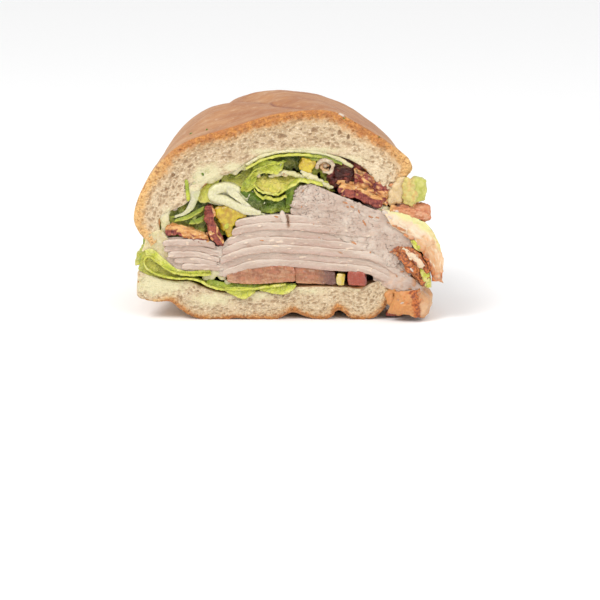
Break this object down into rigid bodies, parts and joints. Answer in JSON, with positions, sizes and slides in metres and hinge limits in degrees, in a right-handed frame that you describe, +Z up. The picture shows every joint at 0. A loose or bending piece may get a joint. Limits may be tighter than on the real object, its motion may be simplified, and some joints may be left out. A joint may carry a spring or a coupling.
{
  "type": "turkey bacon sandwich",
  "caption": "Half of a turkey and bacon sandwich on a soft roll, cut across and resting on its base, with lettuce, tomato and diced vegetables in the filling.",
  "frame": {"origin": "centre of the bounding box at the level the sandwich rests on", "axes": "+Z up, +X to the right when looking at the cut face, so -Y is the way the cut face looks and +Y runs into the roll"},
  "size_m": [0.1112, 0.0984, 0.0778],
  "materials": {
    "roll": "matte baked crust and open crumb",
    "turkey": "moist satin",
    "roast_turkey": "moist satin, browned edges",
    "bacon": "greasy gloss",
    "lettuce": "waxy satin",
    "romaine_rib": "waxy satin",
    "tomato": "wet gloss",
    "yellow_pepper": "wet gloss",
    "avocado": "soft satin"
  },
  "bodies": {
    "root": {"bread_top": "roll", "bread_bottom": "roll", "turkey_01": "turkey", "turkey_02": "turkey", "turkey_03": "turkey", "turkey_04": "turkey", "turkey_05": "turkey", "turkey_06": "turkey", "turkey_07": "turkey", "turkey_08": "turkey", "turkey_09": "turkey", "turkey_10": "turkey", "turkey_11": "turkey", "turkey_side_1": "turkey", "turkey_side_2": "turkey", "turkey_side_3": "turkey", "turkey_side_4": "turkey", "turkey_side_5": "turkey", "turkey_browned_edge": "roast_turkey", "turkey_outer": "roast_turkey", "turkey_tail": "roast_turkey", "bacon_left_flat": "bacon", "bacon_left_upright": "bacon", "bacon_dark": "bacon", "bacon_lining": "bacon", "bacon_strip": "bacon", "bacon_tip": "bacon", "bacon_curl": "bacon", "lettuce_lining": "lettuce", "lettuce_ruffle": "lettuce", "lettuce_cup": "lettuce", "lettuce_cup_under": "lettuce", "lettuce_shade": "lettuce", "lettuce_behind_rib": "lettuce", "lettuce_left": "lettuce", "lettuce_left_shade": "lettuce", "lettuce_folded": "lettuce", "romaine_rib": "romaine_rib", "tomato_left": "tomato", "tomato_right": "tomato", "tomato_end": "tomato", "tomato_slip": "tomato", "pepper_strip": "yellow_pepper", "pepper_cube": "yellow_pepper", "pickle_cube": "yellow_pepper", "avocado_cube": "avocado"}
  },
  "joints": []
}
